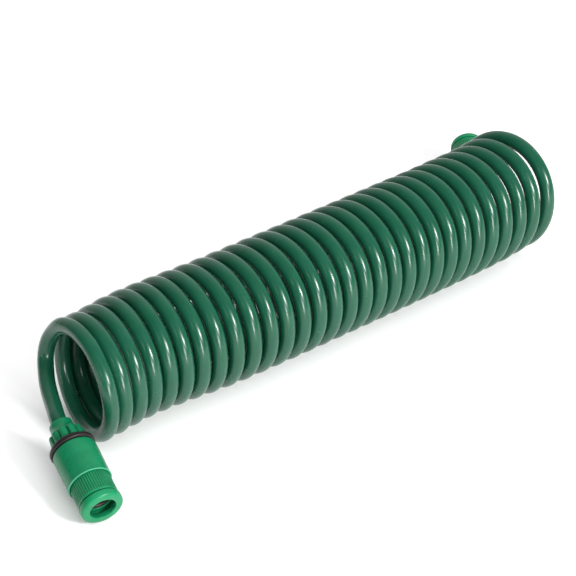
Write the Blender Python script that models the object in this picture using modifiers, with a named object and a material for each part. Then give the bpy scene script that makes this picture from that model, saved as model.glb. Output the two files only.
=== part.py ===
"""Spring coil garden hose with a quick connector on each end.

The coil lies along X on a level floor, near end at low X. A free stretch of
hose runs from each end of the coil into a ribbed nut. Units are metres, +Z up.
The origin is under the middle of the whole object, on the floor.
"""
from math import asin, atan2, cos, pi, radians, sin, tan

import bmesh
import bpy
from mathutils import Vector

# Hose
HOSE_DIAMETER = 0.0115
TUBE_ROUNDNESS = 4

# Coil: turns count from the near end, and radii are to the hose's centre
TURNS = 30
PITCH_NEAR = 0.0126
PITCH_FAR = 0.0157
TURN_RADIUS_NEAR = 0.0390
TURN_RADIUS_FAR = 0.0436
FIRST_TURN_X = -0.0021
AXIS_Y_NEAR = -0.0035
AXIS_Y_FAR = 0.0030
WEB_THICKNESS = 0.003
COIL_SIDES = 24

# Clearances
GAP = 0.0003
SLIDE_CLEARANCE = 0.0004
MERGE_DISTANCE = 0.00001

# Nut that clamps the hose end
NUT_LENGTH = 0.0197
NECK_LENGTH = 0.0050
NECK_RADIUS = 0.0074
NECK_SHOULDER_RADIUS = 0.0082
NECK_ROUND = 0.0008
SKIRT_START = 0.0085
SKIRT_RADIUS = 0.0106
LOBE_RADIUS = 0.0122
LOBES = 11
LOBE_SAMPLES = 4
HOSE_DEPTH = 0.0120
CHAMBER_FLOOR = 0.0126
SPIGOT_RADIUS = 0.0083

# Cushion ring between nut and body
RING_LENGTH = 0.0038
RING_RADIUS = 0.0160
RING_ROUND = 0.0010
RING_BORE = 0.0093

# Body: barrel outside, socket tube inside, with a pocket between them
BODY_SIDES = 24
BARREL_LENGTH = 0.0285
BARREL_RADIUS_BACK = 0.0154
BARREL_RADIUS_FRONT = 0.0151
BARREL_CHAMFER = 0.0012
BARREL_WALL = 0.0008
BEAD_HEIGHT = 0.0003
BEAD_WIDTH = 0.0012
SOCKET_RADIUS = 0.0087
SOCKET_WALL = 0.0022
SOCKET_DEPTH = 0.0150
WATERWAY_RADIUS = 0.0035

# Release collar, which slides back into the pocket
COLLAR_CLEARANCE = 0.0003
COLLAR_BAND = 0.0152
COLLAR_SKIRT = 0.0060
COLLAR_TRAVEL = 0.0030
SLIT_WIDTH = 0.0013
SLIT_DEPTH = 0.0014
LIP_LENGTH = 0.0052
LIP_RADIUS = 0.0146
LIP_ROUND = 0.0020
MOUTH_RADIUS = 0.0090
MOUTH_CHAMFER = 0.0006
MOUTH_WALL = 0.0043

# Rubber seal inside the socket
SEAL_LENGTH = 0.0066
SEAL_BORE = 0.0058

# Connector places, from the centre of the first turn on the floor
NEAR_NECK = Vector((-0.0315, -0.0240, 0.0331))
NEAR_AIM = Vector((-0.169, -0.955, -0.243))
FAR_NECK = Vector((0.4242, 0.0490, 0.0127))
FAR_AIM = Vector((0.540, 0.828, 0.150))

# Free stretches of hose. Each starts in the wall of the coil's end turn, at places given as
# distance along X, angle in degrees up from +Y, and distance out from that turn's radius.
NEAR_START = [
    (-0.0022, 50.0, 0.0002),
    (-0.0029, 41.0, -0.0005),
    (-0.0057, 24.5, -0.0016),
    (-0.0090, 6.5, -0.0048),
    (-0.0126, -5.5, -0.0104),
]
FAR_START = [
    (0.4056, -112.5, -0.0006),
    (0.4053, -88.0, -0.0003),
    (0.4068, -75.8, 0.0009),
    (0.4107, -62.0, 0.0044),
]
NEAR_ROUTE = [
    (-0.0178, 0.0150, 0.0381),
    (-0.0223, 0.0035, 0.0353),
    (-0.0274, -0.0105, 0.0344),
]
FAR_ROUTE = [
    (0.4158, 0.0355, 0.0089),
]
STRAIGHT_LEAD = 0.005
ROUTE_SPACING = 0.011

HOSE_GREEN = (0.014, 0.105, 0.058)
FITTING_GREEN = (0.008, 0.235, 0.095)
COLLAR_GREEN = (0.020, 0.300, 0.130)
RUBBER_BLACK = (0.012, 0.011, 0.011)

HOSE_RADIUS = HOSE_DIAMETER / 2
OCTAGON_HALF = HOSE_RADIUS * tan(pi / 8)


def clear_scene():
    for thing in list(bpy.data.objects):
        bpy.data.objects.remove(thing, do_unlink=True)


def new_collection(name):
    group = bpy.data.collections.new(name)
    bpy.context.scene.collection.children.link(group)
    return group


def material(name, colour, roughness):
    surface = bpy.data.materials.new(name)
    surface.use_nodes = True
    shader = surface.node_tree.nodes["Principled BSDF"]
    shader.inputs["Base Color"].default_value = (*colour, 1.0)
    shader.inputs["Roughness"].default_value = roughness
    shader.inputs["Metallic"].default_value = 0.0
    return surface


def add_object(name, data, group, surface=None, parent=None):
    thing = bpy.data.objects.new(name, data)
    group.objects.link(thing)
    if surface:
        data.materials.append(surface)
    thing.parent = parent
    return thing


def turned(name, profile, sides, group, surface, parent=None):
    """Turn a closed profile of (radius, height) points about local Z."""
    mesh = bpy.data.meshes.new(name)
    edges = [(i, (i + 1) % len(profile)) for i in range(len(profile))]
    mesh.from_pydata([(radius, 0.0, height) for radius, height in profile], edges, [])
    thing = add_object(name, mesh, group, surface, parent)
    screw = thing.modifiers.new("Turn", "SCREW")
    screw.axis = "Z"
    screw.angle = 2 * pi
    screw.steps = sides
    screw.render_steps = sides
    screw.use_merge_vertices = True
    screw.merge_threshold = MERGE_DISTANCE
    return thing


def freeze(thing):
    """Give an object the mesh that its modifiers make."""
    bpy.context.view_layer.update()
    depsgraph = bpy.context.evaluated_depsgraph_get()
    mesh = bpy.data.meshes.new_from_object(thing.evaluated_get(depsgraph))
    thing.modifiers.clear()
    thing.data = mesh
    return mesh


def turn_centres():
    """Distance of each turn's centre from the first, along the coil's axis."""
    centres = [0.0]
    for i in range(TURNS - 1):
        share = i / (TURNS - 2)
        centres.append(centres[-1] + PITCH_NEAR + (PITCH_FAR - PITCH_NEAR) * share)
    return centres


def coil_profile():
    """Outline of the coil's wall: a crown for each turn, and a plain bore."""
    centres = turn_centres()
    slope = (TURN_RADIUS_FAR - TURN_RADIUS_NEAR) / centres[-1]

    def radius(at):
        return TURN_RADIUS_NEAR + slope * at

    points = []
    for i in reversed(range(TURNS)):
        centre = centres[i]
        if i == TURNS - 1:
            points.append((radius(centre) + OCTAGON_HALF, centre + HOSE_RADIUS))
        points.append((radius(centre) + HOSE_RADIUS, centre + OCTAGON_HALF))
        points.append((radius(centre) + HOSE_RADIUS, centre - OCTAGON_HALF))
        if i == 0:
            points.append((radius(centre) + OCTAGON_HALF, centre - HOSE_RADIUS))
        else:
            valley = (centre + centres[i - 1]) / 2
            points.append((radius(valley) + WEB_THICKNESS / 2, valley))
    for end, away in ((centres[0], -1), (centres[-1], 1)):
        face = (radius(end) - OCTAGON_HALF, end + away * HOSE_RADIUS)
        bore = (radius(end) - HOSE_RADIUS, end + away * OCTAGON_HALF)
        points += [face, bore] if away < 0 else [bore, face]
    return points


def make_coil(group, surface, parent):
    """The coil leans by its taper, so that its underside lies level."""
    length = turn_centres()[-1]
    tilt = asin((TURN_RADIUS_FAR - TURN_RADIUS_NEAR) / length)
    turn = asin((AXIS_Y_FAR - AXIS_Y_NEAR) / length)
    coil = turned("hose_coil", coil_profile(), COIL_SIDES, group, surface, parent)
    coil.rotation_euler = (0.0, pi / 2 - tilt, turn)
    coil.location = (FIRST_TURN_X, AXIS_Y_NEAR, (TURN_RADIUS_NEAR + HOSE_RADIUS) / cos(tilt))
    return coil


def around_turn(places, turn_radius, axis_y):
    """Points of a route that follows an end turn, from their places around it."""
    points = []
    for along, degrees, out in places:
        radius = turn_radius + out
        angle = radians(degrees)
        height = turn_radius + HOSE_RADIUS + radius * sin(angle)
        points.append(Vector((along, axis_y + radius * cos(angle), height)))
    return points


def smooth_route(points, spacing):
    """Points along one smooth curve through a route's own points."""
    padded = [points[0] * 2 - points[1], *points, points[-1] * 2 - points[-2]]
    route = []
    for before, start, end, after in zip(padded, padded[1:], padded[2:], padded[3:]):
        pieces = max(1, round((end - start).length / spacing))
        for k in range(pieces):
            t = k / pieces
            route.append(0.5 * (2 * start + (end - before) * t
                                + (2 * before - 5 * start + 4 * end - after) * t ** 2
                                + (3 * start - before - 3 * end + after) * t ** 3))
    return route + [points[-1]]


def full_route(start, route, neck, aim):
    """A free stretch's points, with its straight end inside the nut."""
    aim = aim.normalized()
    middle = [Vector(point) for point in route]
    ends = [neck - aim * STRAIGHT_LEAD, neck, neck + aim * HOSE_DEPTH]
    return smooth_route([*start, *middle, *ends], ROUTE_SPACING)


def tube(name, route, radius, group, surface=None, parent=None):
    curve = bpy.data.curves.new(name, "CURVE")
    curve.dimensions = "3D"
    curve.bevel_depth = radius
    curve.bevel_resolution = TUBE_ROUNDNESS
    curve.use_fill_caps = True
    spline = curve.splines.new("POLY")
    spline.points.add(len(route) - 1)
    for point, place in zip(spline.points, route):
        point.co = (*place, 1.0)
    return add_object(name, curve, group, surface, parent)


def tube_cutter(name, route, group, parent):
    """A mesh around a free stretch, one gap wider and longer than it."""
    first = route[0] + (route[0] - route[1]).normalized() * GAP
    guide = tube(name + "_guide", [first, *route[1:]], HOSE_RADIUS + GAP, group, None, parent)
    bpy.context.view_layer.update()
    depsgraph = bpy.context.evaluated_depsgraph_get()
    mesh = bpy.data.meshes.new_from_object(guide.evaluated_get(depsgraph))
    shell = bmesh.new()
    shell.from_mesh(mesh)
    bmesh.ops.remove_doubles(shell, verts=shell.verts, dist=MERGE_DISTANCE)
    bmesh.ops.recalc_face_normals(shell, faces=shell.faces)
    shell.to_mesh(mesh)
    shell.free()
    bpy.data.objects.remove(guide, do_unlink=True)
    cutter = add_object(name, mesh, group, None, parent)
    cutter.hide_render = True
    cutter.display_type = "WIRE"
    return cutter


def cut(thing, cutter):
    trim = thing.modifiers.new(cutter.name, "BOOLEAN")
    trim.operation = "DIFFERENCE"
    trim.solver = "EXACT"
    trim.object = cutter


def nut_profile():
    return [
        (SKIRT_RADIUS, NUT_LENGTH),
        (SKIRT_RADIUS, SKIRT_START),
        (NECK_SHOULDER_RADIUS, NECK_LENGTH),
        (NECK_SHOULDER_RADIUS, NECK_ROUND),
        (NECK_RADIUS, 0.0),
        (HOSE_RADIUS + GAP, 0.0),
        (HOSE_RADIUS + GAP, CHAMBER_FLOOR),
        (SPIGOT_RADIUS + GAP, CHAMBER_FLOOR),
        (SPIGOT_RADIUS + GAP, NUT_LENGTH),
    ]


def make_nut(name, group, surface, parent):
    """A turned nut whose skirt is then pushed out into finger lobes."""
    nut = turned(name, nut_profile(), LOBES * LOBE_SAMPLES, group, surface, parent)
    mesh = freeze(nut)
    for vertex in mesh.vertices:
        x, y, height = vertex.co
        radius = (x * x + y * y) ** 0.5
        if radius > SKIRT_RADIUS - GAP:
            wave = 0.5 + 0.5 * cos(LOBES * atan2(y, x))
            grown = (SKIRT_RADIUS + (LOBE_RADIUS - SKIRT_RADIUS) * wave) / radius
            vertex.co = (x * grown, y * grown, height)
    return nut


def ring_profile(bottom):
    top = bottom + RING_LENGTH
    return [
        (RING_BORE, top),
        (RING_RADIUS - RING_ROUND, top),
        (RING_RADIUS, top - RING_ROUND),
        (RING_RADIUS, bottom + RING_ROUND),
        (RING_RADIUS - RING_ROUND, bottom),
        (RING_BORE, bottom),
    ]


def body_profile(back, front):
    """From the barrel's front rim round its back, then out through the socket."""
    pocket = BARREL_RADIUS_FRONT - BARREL_WALL
    collar_end = front - COLLAR_SKIRT
    pocket_floor = collar_end - COLLAR_TRAVEL - SLIDE_CLEARANCE * 2
    socket_front = socket_mouth(front)
    return [
        (BARREL_RADIUS_FRONT, front),
        (BARREL_RADIUS_FRONT + BEAD_HEIGHT, front - BEAD_WIDTH / 2),
        (BARREL_RADIUS_FRONT, front - BEAD_WIDTH),
        (BARREL_RADIUS_BACK, back + BARREL_CHAMFER * 2),
        (BARREL_RADIUS_BACK - BARREL_CHAMFER, back),
        (RING_BORE - GAP, back),
        (RING_BORE - GAP, NUT_LENGTH + GAP),
        (SPIGOT_RADIUS, NUT_LENGTH + GAP),
        (SPIGOT_RADIUS, CHAMBER_FLOOR + GAP),
        (WATERWAY_RADIUS, CHAMBER_FLOOR + GAP),
        (WATERWAY_RADIUS, socket_front - SOCKET_DEPTH),
        (SOCKET_RADIUS, socket_front - SOCKET_DEPTH),
        (SOCKET_RADIUS, socket_front),
        (SOCKET_RADIUS + SOCKET_WALL, socket_front),
        (SOCKET_RADIUS + SOCKET_WALL, pocket_floor),
        (pocket, pocket_floor),
        (pocket, front),
    ]


def mouth_height(front):
    return front + COLLAR_BAND + SLIT_WIDTH + LIP_LENGTH


def socket_mouth(front):
    """Front of the socket tube, which the collar's inner wall never reaches."""
    return mouth_height(front) - MOUTH_WALL - COLLAR_TRAVEL - SLIDE_CLEARANCE


def collar_profile(front):
    outside = BARREL_RADIUS_FRONT - BARREL_WALL - COLLAR_CLEARANCE
    inside = SOCKET_RADIUS + SOCKET_WALL + SLIDE_CLEARANCE
    mouth = mouth_height(front)
    lip_back = mouth - LIP_LENGTH
    slit_back = lip_back - SLIT_WIDTH
    end = front - COLLAR_SKIRT
    return [
        (MOUTH_RADIUS + MOUTH_CHAMFER, mouth),
        (LIP_RADIUS - LIP_ROUND, mouth),
        (LIP_RADIUS - LIP_ROUND * (1 - sin(pi / 4)), mouth - LIP_ROUND * (1 - cos(pi / 4))),
        (LIP_RADIUS, mouth - LIP_ROUND),
        (LIP_RADIUS, lip_back),
        (outside - SLIT_DEPTH, lip_back),
        (outside - SLIT_DEPTH, slit_back),
        (outside, slit_back),
        (outside, end),
        (inside, end),
        (inside, mouth - MOUTH_WALL),
        (MOUTH_RADIUS, mouth - MOUTH_WALL),
        (MOUTH_RADIUS, mouth - MOUTH_CHAMFER),
    ]


def seal_profile(front):
    top = socket_mouth(front) - GAP
    return [
        (SEAL_BORE, top),
        (SOCKET_RADIUS - GAP, top),
        (SOCKET_RADIUS - GAP, top - SEAL_LENGTH),
        (SEAL_BORE, top - SEAL_LENGTH),
    ]


def make_connector(side, neck, aim, group, finish, parent):
    """Nut, cushion ring, body, release collar and seal along one axis."""
    axis = bpy.data.objects.new(side + "_connector_axis", None)
    group.objects.link(axis)
    axis.parent = parent
    axis.location = neck
    axis.rotation_mode = "QUATERNION"
    axis.rotation_quaternion = Vector((0.0, 0.0, 1.0)).rotation_difference(aim.normalized())
    ring_back = NUT_LENGTH + GAP
    back = ring_back + RING_LENGTH + GAP
    front = back + BARREL_LENGTH
    make_nut(side + "_hose_nut", group, finish["fitting"], axis)
    turned(side + "_cushion_ring", ring_profile(ring_back), BODY_SIDES, group, finish["ring"], axis)
    turned(side + "_body", body_profile(back, front), BODY_SIDES, group, finish["fitting"], axis)
    turned(side + "_release_collar", collar_profile(front), BODY_SIDES, group, finish["collar"], axis)
    turned(side + "_seal", seal_profile(front), BODY_SIDES, group, finish["seal"], axis)


def world_corners(group):
    bpy.context.view_layer.update()
    depsgraph = bpy.context.evaluated_depsgraph_get()
    points = []
    for thing in group.objects:
        if thing.type == "EMPTY":
            continue
        shown = thing.evaluated_get(depsgraph)
        mesh = shown.to_mesh()
        points += [thing.matrix_world @ vertex.co for vertex in mesh.vertices]
        shown.to_mesh_clear()
    low = Vector(min(point[k] for point in points) for k in range(3))
    high = Vector(max(point[k] for point in points) for k in range(3))
    return low, high


def main():
    clear_scene()
    group = new_collection("garden_hose")
    cutters = new_collection("cutters")
    origin = bpy.data.objects.new("origin", None)
    group.objects.link(origin)
    finish = {
        "hose": material("hose", HOSE_GREEN, 0.25),
        "fitting": material("fitting", FITTING_GREEN, 0.35),
        "collar": material("collar", COLLAR_GREEN, 0.35),
        "ring": material("ring", RUBBER_BLACK, 0.5),
        "seal": material("seal", RUBBER_BLACK, 0.5),
    }
    coil = make_coil(group, finish["hose"], origin)
    near_start = around_turn(NEAR_START, TURN_RADIUS_NEAR, AXIS_Y_NEAR)
    far_start = around_turn(FAR_START, TURN_RADIUS_FAR, AXIS_Y_FAR)
    near_path = full_route(near_start, NEAR_ROUTE, NEAR_NECK, NEAR_AIM)
    far_path = full_route(far_start, FAR_ROUTE, FAR_NECK, FAR_AIM)
    ends = (("near", near_path, NEAR_NECK, NEAR_AIM), ("far", far_path, FAR_NECK, FAR_AIM))
    for side, path, neck, aim in ends:
        tube("hose_end_" + side, path, HOSE_RADIUS, group, finish["hose"], origin)
        cut(coil, tube_cutter("groove_" + side, path, cutters, origin))
        make_connector(side, neck, aim, group, finish, origin)
    low, high = world_corners(group)
    origin.location = (-(low.x + high.x) / 2, -(low.y + high.y) / 2, -low.z)
    bpy.context.view_layer.update()


main()
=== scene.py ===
"""The looks of the spring coil garden hose: one continuous hose and two detailed connectors."""
from math import cos, floor, pi, radians, sin

import bpy
from mathutils import Matrix, Vector


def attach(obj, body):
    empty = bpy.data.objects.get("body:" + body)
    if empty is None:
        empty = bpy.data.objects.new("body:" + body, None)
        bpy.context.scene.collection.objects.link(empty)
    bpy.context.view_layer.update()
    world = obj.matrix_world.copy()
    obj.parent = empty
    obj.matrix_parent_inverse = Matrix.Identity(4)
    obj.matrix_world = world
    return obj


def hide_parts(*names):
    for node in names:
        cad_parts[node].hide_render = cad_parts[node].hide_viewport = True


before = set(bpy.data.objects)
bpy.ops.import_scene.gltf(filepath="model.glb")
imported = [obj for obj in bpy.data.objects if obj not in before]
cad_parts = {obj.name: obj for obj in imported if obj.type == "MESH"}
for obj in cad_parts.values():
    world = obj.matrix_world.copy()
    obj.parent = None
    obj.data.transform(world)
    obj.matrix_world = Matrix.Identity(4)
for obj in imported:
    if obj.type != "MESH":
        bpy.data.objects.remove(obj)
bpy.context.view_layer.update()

# The part's own measurements, in metres
SHIFT = Vector((-0.208849, -0.009600, 0.000021))
HOSE_DIAMETER = 0.0115
HOSE_RADIUS = HOSE_DIAMETER / 2
TURN_RADIUS_NEAR = 0.0390
TURN_RADIUS_FAR = 0.0436
AXIS_Y_NEAR = -0.0035
AXIS_Y_FAR = 0.0030
NEAR_NECK = Vector((-0.0315, -0.0240, 0.0331))
NEAR_AIM = Vector((-0.169, -0.955, -0.243)).normalized()
FAR_NECK = Vector((0.4242, 0.0490, 0.0127))
FAR_AIM = Vector((0.540, 0.828, 0.150)).normalized()
HOSE_DEPTH = 0.0120
STRAIGHT_LEAD = 0.005
GAP = 0.0003
NUT_LENGTH = 0.0197
CHAMBER_FLOOR = 0.0126
SPIGOT_RADIUS = 0.0083
RING_LENGTH = 0.0038
RING_RADIUS = 0.0160
RING_BORE = 0.0093
BARREL_LENGTH = 0.0285
BARREL_RADIUS_BACK = 0.0154
BARREL_RADIUS_FRONT = 0.0151
BARREL_WALL = 0.0008
SOCKET_RADIUS = 0.0087
SOCKET_WALL = 0.0022
SOCKET_DEPTH = 0.0150
WATERWAY_RADIUS = 0.0035
COLLAR_CLEARANCE = 0.0003
SLIDE_CLEARANCE = 0.0004
COLLAR_BAND = 0.0152
COLLAR_SKIRT = 0.0060
COLLAR_TRAVEL = 0.0030
SLIT_WIDTH = 0.0013
SLIT_DEPTH = 0.0014
LIP_LENGTH = 0.0052
LIP_RADIUS = 0.0146
MOUTH_RADIUS = 0.0090
MOUTH_WALL = 0.0043
SEAL_LENGTH = 0.0066
SEAL_BORE = 0.0058
BARREL_BACK = NUT_LENGTH + GAP + RING_LENGTH + GAP
BARREL_FRONT = BARREL_BACK + BARREL_LENGTH
MOUTH = BARREL_FRONT + COLLAR_BAND + SLIT_WIDTH + LIP_LENGTH
SOCKET_FRONT = MOUTH - MOUTH_WALL - COLLAR_TRAVEL - SLIDE_CLEARANCE

# How the turns lie: values at a few turn numbers from the near end, eased between them.
# A quarter of a turn is the top, a half is the front. Lean is how far the hose moves along
# the coil at the top of a turn, and skew at its back, as a share of the turn's radius.
# Pinch is how far the backs of the first turns are pushed along the coil, away from their fronts.
PITCH = ((0, 0.0139), (3, 0.0130), (6, 0.0127), (10, 0.0140), (15, 0.0142), (20, 0.0139),
         (26, 0.0150), (28, 0.0160), (29, 0.0176), (30, 0.0182))
RADIUS = ((0.2, 0.0389), (1.5, 0.0390), (4, 0.0395), (10, 0.0412), (20, 0.0422), (27, 0.0429),
          (29.7, 0.0437))
MIDDLE_Y = ((0.2, -0.0043), (1.5, -0.0027), (4, 0.0005), (10, -0.0041), (20, -0.0029), (27, -0.0001),
            (29.7, 0.0052))
LEAN = ((0.2, 0.05), (4, 0.05), (15, 0.09), (27, 0.15), (29.7, 0.15))
SKEW = ((0.2, 0.0), (1.5, 0.07), (4, 0.08), (15, -0.02), (27, -0.04), (29.7, -0.06))
PINCH = ((0.6, 0.0), (1, 0.0007), (2, -0.0021), (3, -0.0034), (4, -0.0036), (6, -0.0028),
         (12, 0.0026), (18, 0.0))
PINCH_PLACE = 0.06
FIRST_FRONT_X = -0.0021
FIRST_TURN = 0.43
LAST_TURN = 29.72
STEPS_A_TURN = 16

# The free stretches, as in the part: distance along X, degrees up from +Y, distance out
NEAR_START = [
    (-0.0021, 138.0, -0.0003),
    (-0.0015, 115.0, 0.0004),
    (-0.0012, 100.0, 0.0000),
    (-0.0007, 82.0, 0.0000),
    (-0.0012, 62.0, 0.0004),
    (-0.0022, 50.0, 0.0002),
    (-0.0029, 41.0, -0.0005),
    (-0.0057, 24.5, -0.0016),
    (-0.0090, 6.5, -0.0048),
    (-0.0126, -5.5, -0.0104),
]
FAR_START = [
    (0.4053, -88.0, -0.0003),
    (0.4068, -75.8, 0.0009),
    (0.4107, -62.0, 0.0044),
]
NEAR_ROUTE = [
    (-0.0178, 0.0150, 0.0381),
    (-0.0223, 0.0035, 0.0353),
    (-0.0274, -0.0105, 0.0344),
]
FAR_ROUTE = [
    (0.4158, 0.0355, 0.0089),
]
ROUTE_SPACING = 0.0032
SMOOTHING_PASSES = 12
PULL_IN = 0.5
LET_OUT = -0.52
HOSE_SIDES = 24

# Fine form of the connectors
LOBES = 11
LOBE_RADIUS = 0.0122
FLUTE_RADIUS = 0.0103
LOBE_START = 0.0064
PETAL_DEPTH = 0.0030
PETAL_RISE = 0.0022
BEAD_RISE = 0.0003
BEAD_LENGTH = 0.0009
# How far back the barrel's front edge gets its painted highlight, and how far in the mouth's rim stays free
# of painted shade
PAINTED_HIGHLIGHT_LENGTH = 0.0006
UNSHADED_MOUTH_EDGE = 0.0012
COLLAR_RIBS = 52
RIB_DEPTH = 0.00032
RIB_RUNOUT = 0.0007
PLAIN_BAND = 0.0012
COLLAR_OUTSIDE = BARREL_RADIUS_FRONT - BARREL_WALL - COLLAR_CLEARANCE
LIP_BACK = MOUTH - LIP_LENGTH
SLIT_BACK = LIP_BACK - SLIT_WIDTH
RIBS_END = SLIT_BACK - PLAIN_BAND
ROUND_SIDES = 132
SIDES_A_LOBE = 16
SIDES_A_RIB = 8

# The picture
CAMERA_PLACE = Vector((-0.4540, -0.8011, 0.7281))
CAMERA_RIGHT = Vector((0.7899, -0.6131, 0.0135))
CAMERA_BACK = Vector((-0.5158, -0.6523, 0.5554))
CAMERA_LENS = 103.9
LIT_PLACE = Vector((-0.15, 0.0, 0.04))
FLOOR_REACH = 6.0
FLOOR_DROP = 0.0002


def make_camera():
    """The camera at the photograph's viewing angle."""
    eye = CAMERA_PLACE + SHIFT
    right = CAMERA_RIGHT.normalized()
    back = CAMERA_BACK.normalized()
    up = back.cross(right).normalized()
    right = up.cross(back).normalized()
    data = bpy.data.cameras.new("camera")
    data.sensor_width = 36.0
    data.lens = CAMERA_LENS
    data.clip_start = 0.05
    data.clip_end = 20.0
    camera = bpy.data.objects.new("camera", data)
    bpy.context.scene.collection.objects.link(camera)
    camera.matrix_world = Matrix.Translation(eye) @ Matrix((right, up, back)).transposed().to_4x4()
    bpy.context.scene.camera = camera


def eased(knots, at):
    """A value between knots, with a level slope at each local peak so that it never overshoots."""
    places = [place for place, _ in knots]
    values = [value for _, value in knots]
    slopes = [(b - a) / (q - p) for p, q, a, b in zip(places, places[1:], values, values[1:])]
    bends = [slopes[0]]
    for before, after in zip(slopes, slopes[1:]):
        bends.append(2 * before * after / (before + after) if before * after > 0 else 0.0)
    bends.append(slopes[-1])
    at = min(max(at, places[0]), places[-1])
    k = max(i for i in range(len(slopes)) if places[i] <= at)
    width = places[k + 1] - places[k]
    t = (at - places[k]) / width
    rest = 1 - t
    return (values[k] * (1 + 2 * t) * rest ** 2 + values[k + 1] * (3 - 2 * t) * t ** 2
            + width * t * rest * (bends[k] * rest - bends[k + 1] * t))


def coil_points():
    """The hose's centre down the whole coil, a loop with the same number of steps for each turn."""
    step = 1 / STEPS_A_TURN
    points = []
    turn = FIRST_TURN
    along = FIRST_FRONT_X + eased(PITCH, FIRST_TURN) * (FIRST_TURN - 0.5)
    while turn < LAST_TURN:
        radius = eased(RADIUS, turn)
        up = radius * sin(2 * pi * turn)
        side = radius * cos(2 * pi * turn)
        x = along + eased(LEAN, turn) * up + eased(SKEW, turn) * side
        x += eased(PINCH, turn) * max(0.0, cos(2 * pi * (turn + PINCH_PLACE)))
        points.append(Vector((x, side + eased(MIDDLE_Y, turn), radius + HOSE_RADIUS + up)))
        along += eased(PITCH, turn + step / 2) * step
        turn += step
    return points


def around_turn(places, turn_radius, axis_y):
    """Points of a route that follows an end turn, from their places around it."""
    points = []
    for along, degrees, out in places:
        radius = turn_radius + out
        angle = radians(degrees)
        height = turn_radius + HOSE_RADIUS + radius * sin(angle)
        points.append(Vector((along, axis_y + radius * cos(angle), height)))
    return points


def smooth_route(points, spacing):
    """Points along one smooth curve through a route's own points."""
    padded = [points[0] * 2 - points[1], *points, points[-1] * 2 - points[-2]]
    route = []
    for before, start, end, after in zip(padded, padded[1:], padded[2:], padded[3:]):
        pieces = max(1, round((end - start).length / spacing))
        for k in range(pieces):
            t = k / pieces
            route.append(0.5 * (2 * start + (end - before) * t
                                + (2 * before - 5 * start + 4 * end - after) * t ** 2
                                + (3 * start - before - 3 * end + after) * t ** 3))
    return route + [points[-1]]


def relaxed(points, passes):
    """The points with small wobbles out. A pass pulls in, then lets out, so turns keep their size."""
    for share in (PULL_IN, LET_OUT) * passes:
        inner = [b + ((a + c) / 2 - b) * share for a, b, c in zip(points, points[1:], points[2:])]
        points = [points[0], *inner, points[-1]]
    return points


def hose_route():
    """The whole hose, from inside the near nut through all its turns to inside the far nut."""
    near = [NEAR_NECK + NEAR_AIM * HOSE_DEPTH, NEAR_NECK, NEAR_NECK - NEAR_AIM * STRAIGHT_LEAD]
    near += [Vector(point) for point in reversed(NEAR_ROUTE)]
    near += reversed(around_turn(NEAR_START, TURN_RADIUS_NEAR, AXIS_Y_NEAR))
    far = around_turn(FAR_START, TURN_RADIUS_FAR, AXIS_Y_FAR)
    far += [Vector(point) for point in FAR_ROUTE]
    far += [FAR_NECK - FAR_AIM * STRAIGHT_LEAD, FAR_NECK, FAR_NECK + FAR_AIM * HOSE_DEPTH]
    route = relaxed(smooth_route([*near, *coil_points(), *far], ROUTE_SPACING), SMOOTHING_PASSES)
    return [point + SHIFT for point in route]


def add_mesh(name, points, faces, surface):
    mesh = bpy.data.meshes.new(name)
    mesh.from_pydata(points, [], faces)
    mesh.materials.append(surface)
    mesh.polygons.foreach_set("use_smooth", [True] * len(faces))
    thing = bpy.data.objects.new(name, mesh)
    bpy.context.scene.collection.objects.link(thing)
    return thing


def make_hose(route, surface):
    """A round skin along the route, with a map that runs round it and along it in metres."""
    points = []
    side = Vector((1.0, 0.0, 0.0))
    for i, place in enumerate(route):
        ahead = (route[min(i + 1, len(route) - 1)] - route[max(i - 1, 0)]).normalized()
        side = (side - ahead * side.dot(ahead)).normalized()
        other = ahead.cross(side)
        for k in range(HOSE_SIDES):
            angle = 2 * pi * k / HOSE_SIDES
            points.append(place + (side * cos(angle) + other * sin(angle)) * HOSE_RADIUS)
    faces = []
    for i in range(len(route) - 1):
        for k in range(HOSE_SIDES):
            after = (k + 1) % HOSE_SIDES
            faces.append((i * HOSE_SIDES + k, i * HOSE_SIDES + after,
                          (i + 1) * HOSE_SIDES + after, (i + 1) * HOSE_SIDES + k))
    faces.append(tuple(reversed(range(HOSE_SIDES))))
    faces.append(tuple(range(len(points) - HOSE_SIDES, len(points))))
    hose = add_mesh("hose", points, faces, surface)
    layer = hose.data.uv_layers.new(name="along")
    loop = 0
    run = 0.0
    for i in range(len(route) - 1):
        ahead = run + (route[i + 1] - route[i]).length
        for k in range(HOSE_SIDES):
            low = k / HOSE_SIDES
            high = (k + 1) / HOSE_SIDES
            for u, v in ((low, run), (high, run), (high, ahead), (low, ahead)):
                layer.data[loop].uv = (u, v)
                loop += 1
        run = ahead
    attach(hose, "hose")
    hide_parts("hose_coil", "hose_end_near", "hose_end_far")
    return hose


def rounded(corners, steps=4):
    """A closed outline from (radius, height, rounding) corners, with an arc at each rounded one."""
    outline = []
    count = len(corners)
    for i, (radius, height, size) in enumerate(corners):
        here = Vector((radius, height))
        if size == 0:
            outline.append(here)
            continue
        back = Vector(corners[i - 1][:2]) - here
        ahead = Vector(corners[(i + 1) % count][:2]) - here
        start = here + back.normalized() * min(size, back.length / 2)
        end = here + ahead.normalized() * min(size, ahead.length / 2)
        for k in range(steps + 1):
            t = k / steps
            outline.append(start * (1 - t) ** 2 + here * 2 * t * (1 - t) + end * t ** 2)
    return [(point.x, point.y) for point in outline]


def stretched(outline, longest):
    """The outline with its long straight stretches split, so that a shape can vary along them."""
    points = []
    for a, b in zip(outline, [*outline[1:], outline[0]]):
        wide = b[0] - a[0]
        high = b[1] - a[1]
        pieces = max(1, int((wide ** 2 + high ** 2) ** 0.5 / longest))
        points += [(a[0] + wide * k / pieces, a[1] + high * k / pieces) for k in range(pieces)]
    return points


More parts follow.
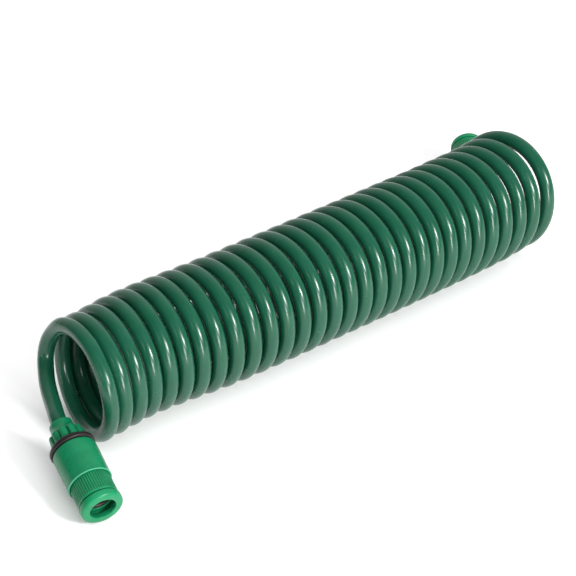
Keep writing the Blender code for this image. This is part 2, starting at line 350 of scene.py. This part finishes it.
def turned(name, outline, sides, surface, neck, aim, shape=None):
    """Turn an outline about a connector's axis. shape gives a point its radius and its painted light.

    Painted light is 1 in the bottom of a groove, where it gives full painted shade, 0 on the plain surface
    and -1 on the barrel's front edge, where it gives a painted highlight.
    """
    points = []
    painted_values = []
    for k in range(sides):
        angle = 2 * pi * k / sides
        for radius, height in outline:
            grown, painted_value = shape(radius, height, angle) if shape else (radius, 0.0)
            points.append((grown * cos(angle), grown * sin(angle), height))
            painted_values.append(painted_value)
    rows = len(outline)
    faces = []
    for k in range(sides):
        here = k * rows
        there = (k + 1) % sides * rows
        for i in range(rows):
            after = (i + 1) % rows
            faces.append((here + i, here + after, there + after, there + i))
    thing = add_mesh(name, points, faces, surface)
    painted_light = thing.data.attributes.new("painted_light", "FLOAT", "POINT")
    painted_light.data.foreach_set("value", painted_values)
    turn = Vector((0.0, 0.0, 1.0)).rotation_difference(aim)
    thing.data.transform(Matrix.Translation(neck + SHIFT) @ turn.to_matrix().to_4x4())
    thing.data.set_sharp_from_angle(angle=radians(50))
    return thing


def eased_step(low, high, at):
    t = min(max((at - low) / (high - low), 0.0), 1.0)
    return t * t * (3 - 2 * t)


def nut_lobes(radius, height, angle):
    """Rounded finger lobes, each with a petal-shaped top, and a flute between them that gets painted shade.
    """
    if radius < FLUTE_RADIUS - GAP:
        return radius, 0.0
    turn = angle * LOBES / (2 * pi)
    across = abs(turn - floor(turn + 0.5)) * 2
    petal = LOBE_START + PETAL_DEPTH * across ** 2
    rise = eased_step(petal, petal + PETAL_RISE, height)
    crown = (1 - across ** 2.6) ** 0.6 if across < 1 else 0.0
    grown = radius + (LOBE_RADIUS - FLUTE_RADIUS) * rise * crown
    # The flutes between the lobes get painted shade.
    return grown, rise * (1 - crown)


def nut_outline():
    return stretched(rounded([
        (FLUTE_RADIUS, NUT_LENGTH, 0.0004),
        (FLUTE_RADIUS, 0.0095, 0.0030),
        (0.0082, 0.0050, 0.0018),
        (0.0081, 0.0000, 0.0009),
        (HOSE_RADIUS + GAP, 0.0000, 0.0006),
        (HOSE_RADIUS + GAP, CHAMBER_FLOOR, 0.0),
        (SPIGOT_RADIUS + GAP, CHAMBER_FLOOR, 0.0),
        (SPIGOT_RADIUS + GAP, NUT_LENGTH, 0.0),
    ], 6), 0.0006)


def ring_outline():
    low = NUT_LENGTH + GAP
    high = low + RING_LENGTH
    return rounded([
        (RING_BORE, high, 0.0003),
        (RING_RADIUS, high, 0.0016),
        (RING_RADIUS, low, 0.0016),
        (RING_BORE, low, 0.0003),
    ], 6)


def body_outline():
    pocket = BARREL_RADIUS_FRONT - BARREL_WALL
    pocket_floor = BARREL_FRONT - COLLAR_SKIRT - COLLAR_TRAVEL - SLIDE_CLEARANCE * 2
    return rounded([
        (BARREL_RADIUS_FRONT + BEAD_RISE, BARREL_FRONT, 0.0003),
        (BARREL_RADIUS_FRONT + BEAD_RISE, BARREL_FRONT - BEAD_LENGTH, 0.0003),
        (BARREL_RADIUS_FRONT, BARREL_FRONT - 0.0013, 0.0003),
        (BARREL_RADIUS_BACK, BARREL_BACK + 0.0060, 0.0040),
        (BARREL_RADIUS_BACK - 0.0002, BARREL_BACK, 0.0017),
        (RING_BORE - GAP, BARREL_BACK, 0.0),
        (RING_BORE - GAP, NUT_LENGTH + GAP, 0.0),
        (SPIGOT_RADIUS, NUT_LENGTH + GAP, 0.0),
        (SPIGOT_RADIUS, CHAMBER_FLOOR + GAP, 0.0004),
        (WATERWAY_RADIUS, CHAMBER_FLOOR + GAP, 0.0003),
        (WATERWAY_RADIUS, SOCKET_FRONT - SOCKET_DEPTH, 0.0004),
        (SOCKET_RADIUS, SOCKET_FRONT - SOCKET_DEPTH, 0.0006),
        (SOCKET_RADIUS, SOCKET_FRONT, 0.0005),
        (SOCKET_RADIUS + SOCKET_WALL, SOCKET_FRONT, 0.0005),
        (SOCKET_RADIUS + SOCKET_WALL, pocket_floor, 0.0004),
        (pocket, pocket_floor, 0.0004),
        (pocket, BARREL_FRONT, 0.0002),
    ])


def collar_ribs(radius, height, angle):
    """Fine grip ribs on the outside, as far as a plain band at the slit. The rib valleys and the mouth's
    inner wall get painted shade.
    """
    # The mouth's inner wall, back from its rim, gets painted shade.
    if radius < MOUTH_RADIUS + GAP and height < MOUTH - UNSHADED_MOUTH_EDGE:
        return radius, 0.65
    if radius < COLLAR_OUTSIDE - GAP or height > RIBS_END + GAP:
        return radius, 0.0
    # The rib valleys get painted shade.
    shown = 1 - eased_step(RIBS_END - RIB_RUNOUT, RIBS_END, height)
    wave = (0.5 - 0.5 * cos(COLLAR_RIBS * angle)) ** 1.5
    return radius - RIB_DEPTH * wave * shown, wave * shown


def painted_front_highlight(radius, height, angle):
    """Marks the barrel's thin front edge for a painted highlight, a paler colour. The shape stays as it is.
    """
    with_painted_highlight = radius > BARREL_RADIUS_FRONT - BARREL_WALL and height > BARREL_FRONT - PAINTED_HIGHLIGHT_LENGTH
    return radius, -1.0 if with_painted_highlight else 0.0


def collar_outline():
    inside = SOCKET_RADIUS + SOCKET_WALL + SLIDE_CLEARANCE
    end = BARREL_FRONT - COLLAR_SKIRT
    return rounded([
        (MOUTH_RADIUS, MOUTH, 0.0007),
        (LIP_RADIUS, MOUTH, 0.0030),
        (LIP_RADIUS, LIP_BACK, 0.0005),
        (COLLAR_OUTSIDE - SLIT_DEPTH, LIP_BACK, 0.0002),
        (COLLAR_OUTSIDE - SLIT_DEPTH, SLIT_BACK, 0.0002),
        (COLLAR_OUTSIDE, SLIT_BACK, 0.0003),
        (COLLAR_OUTSIDE, RIBS_END, 0.0),
        (COLLAR_OUTSIDE, RIBS_END - 0.0003, 0.0),
        (COLLAR_OUTSIDE, RIBS_END - RIB_RUNOUT, 0.0),
        (COLLAR_OUTSIDE, RIBS_END - 0.0060, 0.0),
        (COLLAR_OUTSIDE, end, 0.0003),
        (inside, end, 0.0003),
        (inside, MOUTH - MOUTH_WALL, 0.0003),
        (MOUTH_RADIUS, MOUTH - MOUTH_WALL, 0.0005),
    ], 5)


def seal_outline():
    high = SOCKET_FRONT - GAP
    low = high - SEAL_LENGTH
    middle = (high + low) / 2
    return rounded([
        (SEAL_BORE + 0.0009, high, 0.0006),
        (SOCKET_RADIUS - GAP, high, 0.0004),
        (SOCKET_RADIUS - GAP, low, 0.0004),
        (SEAL_BORE, low, 0.0006),
        (SEAL_BORE + 0.0012, middle, 0.0012),
        (SEAL_BORE, high - 0.0012, 0.0010),
    ])


def link(tree, start, end):
    tree.links.new(start, end)


def add_noise(tree, vector, scale, detail, rough):
    noise = tree.nodes.new("ShaderNodeTexNoise")
    noise.inputs["Scale"].default_value = scale
    noise.inputs["Detail"].default_value = detail
    noise.inputs["Roughness"].default_value = rough
    link(tree, vector, noise.inputs["Vector"])
    return noise.outputs["Fac"]


def add_range(tree, value, low, high, start=0.3, end=0.7):
    spread = tree.nodes.new("ShaderNodeMapRange")
    for name, number in (("From Min", start), ("From Max", end), ("To Min", low), ("To Max", high)):
        spread.inputs[name].default_value = number
    link(tree, value, spread.inputs["Value"])
    return spread.outputs["Result"]


def add_mix(tree, share, first, second):
    """Mix two colours. Each is a colour or another node's output."""
    mix = tree.nodes.new("ShaderNodeMix")
    mix.data_type = "RGBA"
    link(tree, share, mix.inputs["Factor"])
    for name, colour in (("A", first), ("B", second)):
        socket = next(s for s in mix.inputs if s.name == name and s.type == "RGBA")
        if isinstance(colour, tuple):
            socket.default_value = (*colour, 1.0)
        else:
            link(tree, colour, socket)
    return next(s for s in mix.outputs if s.type == "RGBA")


def add_bump(tree, height, distance, strength, normal=None):
    bump = tree.nodes.new("ShaderNodeBump")
    bump.inputs["Distance"].default_value = distance
    bump.inputs["Strength"].default_value = strength
    link(tree, height, bump.inputs["Height"])
    if normal:
        link(tree, normal, bump.inputs["Normal"])
    return bump.outputs["Normal"]


def new_surface(name):
    surface = bpy.data.materials.new(name)
    surface.use_nodes = True
    tree = surface.node_tree
    return surface, tree, tree.nodes["Principled BSDF"], tree.nodes.new("ShaderNodeTexCoord")


def stretched_map(tree, vector, scale):
    mapping = tree.nodes.new("ShaderNodeMapping")
    mapping.inputs["Scale"].default_value = scale
    link(tree, vector, mapping.inputs["Vector"])
    return mapping.outputs["Vector"]


def hose_surface():
    """Glossy extruded vinyl: faint lengthwise die lines, a mild orange peel and cloudy gloss."""
    surface, tree, shader, place = new_surface("hose_green")
    cloud = add_noise(tree, place.outputs["Object"], 55.0, 3.0, 0.6)
    lines = add_noise(tree, stretched_map(tree, place.outputs["UV"], (30.0, 3.0, 1.0)), 1.0, 2.0, 0.5)
    peel = add_noise(tree, place.outputs["Object"], 650.0, 2.0, 0.5)
    base = add_mix(tree, add_range(tree, cloud, 0.0, 1.0), (0.0036, 0.051, 0.026), (0.0054, 0.063, 0.033))
    colour = add_mix(tree, add_range(tree, lines, 0.0, 0.35), base, (0.0068, 0.074, 0.039))
    link(tree, colour, shader.inputs["Base Color"])
    link(tree, add_range(tree, cloud, 0.22, 0.28), shader.inputs["Roughness"])
    grooves = add_bump(tree, lines, 0.00010, 0.05)
    link(tree, add_bump(tree, peel, 0.00002, 0.07, grooves), shader.inputs["Normal"])
    shader.inputs["IOR"].default_value = 1.43
    return surface


def moulded_surface(name, dark, light, painted_shade, painted_highlight, rough, grain):
    """Moulded plastic: slow colour drift, scuffed gloss, a fine grain, painted shade in hollows, a painted
    highlight on a marked edge.
    """
    surface, tree, shader, place = new_surface(name)
    drift = add_noise(tree, place.outputs["Object"], 90.0, 3.0, 0.6)
    scuff = add_noise(tree, stretched_map(tree, place.outputs["Object"], (1.0, 1.0, 0.25)), 420.0, 4.0, 0.65)
    fine = add_noise(tree, place.outputs["Object"], 2400.0, 2.0, 0.5)
    base = add_mix(tree, add_range(tree, drift, 0.0, 1.0), dark, light)
    painted_value = tree.nodes.new("ShaderNodeAttribute")
    painted_value.attribute_name = "painted_light"
    # Painted shade where the mark is above 0, in grooves and the mouth, and a painted highlight where it is
    # below 0, on the barrel's front edge.
    shaded = add_mix(tree, add_range(tree, painted_value.outputs["Fac"], 0.0, 0.8, 0.0, 1.0), base, painted_shade)
    with_painted_highlight = add_mix(tree, add_range(tree, painted_value.outputs["Fac"], 0.6, 0.0, -1.0, 0.0), shaded, painted_highlight)
    link(tree, with_painted_highlight, shader.inputs["Base Color"])
    link(tree, add_range(tree, scuff, rough - 0.06, rough + 0.08), shader.inputs["Roughness"])
    soft = add_bump(tree, drift, 0.00015, 0.25)
    shader.inputs["Specular IOR Level"].default_value = 0.25
    link(tree, add_bump(tree, fine, 0.00003, grain, soft), shader.inputs["Normal"])
    return surface


# The painted shade colour goes into grooves and the mouth's wall, and the painted highlight colour goes onto
# the barrel's front edge.
def fitting_surface():
    return moulded_surface("fitting_green", dark=(0.002, 0.118, 0.047), light=(0.004, 0.148, 0.061),
                           painted_shade=(0.001, 0.032, 0.014), painted_highlight=(0.060, 0.340, 0.195), rough=0.30, grain=0.25)


def collar_surface():
    return moulded_surface("collar_green", dark=(0.003, 0.140, 0.053), light=(0.007, 0.190, 0.078),
                           painted_shade=(0.001, 0.030, 0.011), painted_highlight=(0.060, 0.340, 0.195), rough=0.32, grain=0.35)


def ring_surface():
    return moulded_surface("ring_rubber", dark=(0.007, 0.005, 0.006), light=(0.014, 0.009, 0.010),
                           painted_shade=(0.004, 0.003, 0.003), painted_highlight=(0.020, 0.014, 0.015), rough=0.42, grain=0.5)


def seal_surface():
    return moulded_surface("seal_rubber", dark=(0.012, 0.009, 0.008), light=(0.024, 0.017, 0.015),
                           painted_shade=(0.004, 0.003, 0.003), painted_highlight=(0.030, 0.022, 0.020), rough=0.38, grain=0.4)


def floor_surface():
    """A pale studio floor with the faintest cloudiness."""
    surface, tree, shader, place = new_surface("floor_white")
    cloud = add_noise(tree, place.outputs["Object"], 2.0, 2.0, 0.5)
    link(tree, add_mix(tree, cloud, (0.90, 0.90, 0.90), (0.93, 0.93, 0.93)), shader.inputs["Base Color"])
    shader.inputs["Roughness"].default_value = 0.9
    shader.inputs["Specular IOR Level"].default_value = 0.0
    return surface


def make_floor():
    low, high = -FLOOR_REACH, FLOOR_REACH
    corners = [(x, y, -FLOOR_DROP) for x, y in ((low, low), (high, low), (high, high), (low, high))]
    add_mesh("floor", corners, [(0, 1, 2, 3)], floor_surface())


def make_world():
    """A studio that is white behind the object, and dim above it and on the photographer's side."""
    world = bpy.data.worlds.new("studio")
    world.use_nodes = True
    tree = world.node_tree
    place = tree.nodes.new("ShaderNodeTexCoord")
    facing = tree.nodes.new("ShaderNodeVectorMath")
    facing.operation = "DOT_PRODUCT"
    facing.inputs[1].default_value = Vector((0.62, 0.78, 0.10)).normalized()
    link(tree, place.outputs["Generated"], facing.inputs[0])
    sky = tree.nodes["Background"]
    sky.inputs["Color"].default_value = (1, 1, 1, 1)
    link(tree, add_range(tree, facing.outputs["Value"], 0.07, 0.9, 0.1, 0.8), sky.inputs["Strength"])
    bpy.context.scene.world = world
    bpy.context.scene.view_settings.view_transform = "Standard"


def soft_light(name, azimuth, elevation, distance, width, height, power):
    """An area light that looks at the object from an azimuth east of straight in front (-Y)."""
    data = bpy.data.lights.new(name, "AREA")
    data.shape = "RECTANGLE"
    data.size = width
    data.size_y = height
    data.energy = power
    light = bpy.data.objects.new(name, data)
    bpy.context.scene.collection.objects.link(light)
    flat = cos(radians(elevation))
    way = Vector((sin(radians(azimuth)) * flat, -cos(radians(azimuth)) * flat, sin(radians(elevation))))
    light.location = way * distance + LIT_PLACE
    light.rotation_euler = (-way).to_track_quat("-Z", "Y").to_euler()
    return light


def make_lights():
    """A broad light above, which the gloss doesn't show, and small ones that it does."""
    overhead = soft_light("overhead", azimuth=0, elevation=82, distance=1.9,
                          width=3.4, height=3.4, power=60)
    overhead.visible_glossy = False
    soft_light("front_spot", azimuth=11, elevation=29.5, distance=2.5,
               width=0.50, height=0.50, power=72)
    soft_light("front_strip", azimuth=-13, elevation=7.5, distance=2.5,
               width=0.42, height=0.80, power=40)
    soft_light("side_panel", azimuth=-65, elevation=28, distance=2.5,
               width=0.30, height=0.36, power=2.5)
    soft_light("side_strip", azimuth=-91, elevation=3.5, distance=2.5,
               width=0.16, height=0.40, power=3)


def make_connector(side, neck, aim, finish):
    """Nut, cushion ring, body, release collar and seal, each in place of its plain node."""
    plans = (
        ("hose_nut", nut_outline(), LOBES * SIDES_A_LOBE, "fitting", "hose", nut_lobes),
        ("cushion_ring", ring_outline(), ROUND_SIDES, "ring", "hose", None),
        ("body", body_outline(), ROUND_SIDES, "fitting", "hose", painted_front_highlight),
        ("release_collar", collar_outline(), COLLAR_RIBS * SIDES_A_RIB, "collar", side + "_collar",
         collar_ribs),
        ("seal", seal_outline(), ROUND_SIDES, "seal", "hose", None),
    )
    made = {}
    for name, outline, sides, slot, body, shape in plans:
        thing = turned(side + "_" + name + "_detail", outline, sides, finish[slot], neck, aim, shape)
        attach(thing, body)
        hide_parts(side + "_" + name)
        made[name] = thing
    return made


make_camera()
make_floor()
make_world()
make_lights()
finish = {"fitting": fitting_surface(), "collar": collar_surface(), "ring": ring_surface(),
          "seal": seal_surface()}
make_connector("near", NEAR_NECK, NEAR_AIM, finish)
far_pieces = make_connector("far", FAR_NECK, FAR_AIM, finish)
route = hose_route()
hose = make_hose(route, hose_surface())
